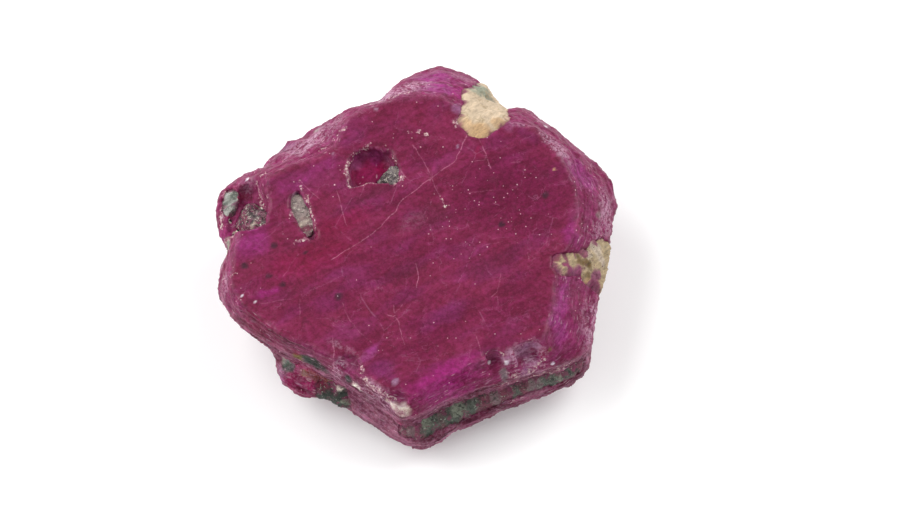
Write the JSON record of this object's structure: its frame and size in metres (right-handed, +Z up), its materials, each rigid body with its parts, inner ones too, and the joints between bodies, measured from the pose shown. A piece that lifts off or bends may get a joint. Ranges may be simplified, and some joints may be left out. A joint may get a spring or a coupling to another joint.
{
  "type": "raw ruby crystal",
  "caption": "Thick six-sided raw ruby plate with a flat face, worn bevels, layered broken sides and grains of host rock left in its pockets and seam.",
  "frame": {"origin": "middle of the flat base that the crystal rests on", "axes": "+Z up through the flat face, +X to the right and +Y away from the viewer of the reference picture"},
  "size_m": [0.0322, 0.0331, 0.0103],
  "materials": {
    "ruby": "cloudy crimson corundum, waxy on the flat face and frosted on the broken sides",
    "feldspar": "dull cream feldspar, grainy",
    "mica": "grey-green flaky mica with bright glints",
    "green_rock": "dark green fine-grained rock, dull"
  },
  "bodies": {
    "root": {"ruby_crystal": "ruby", "feldspar_grain_back": "feldspar", "mica_grain_right": "mica", "mica_sliver": "mica", "mica_crumb_centre": "mica", "mica_crust_corner_outer": "mica", "mica_crust_corner_inner": "mica", "green_seam_front": "green_rock", "green_crumb_left": "green_rock"}
  },
  "joints": []
}
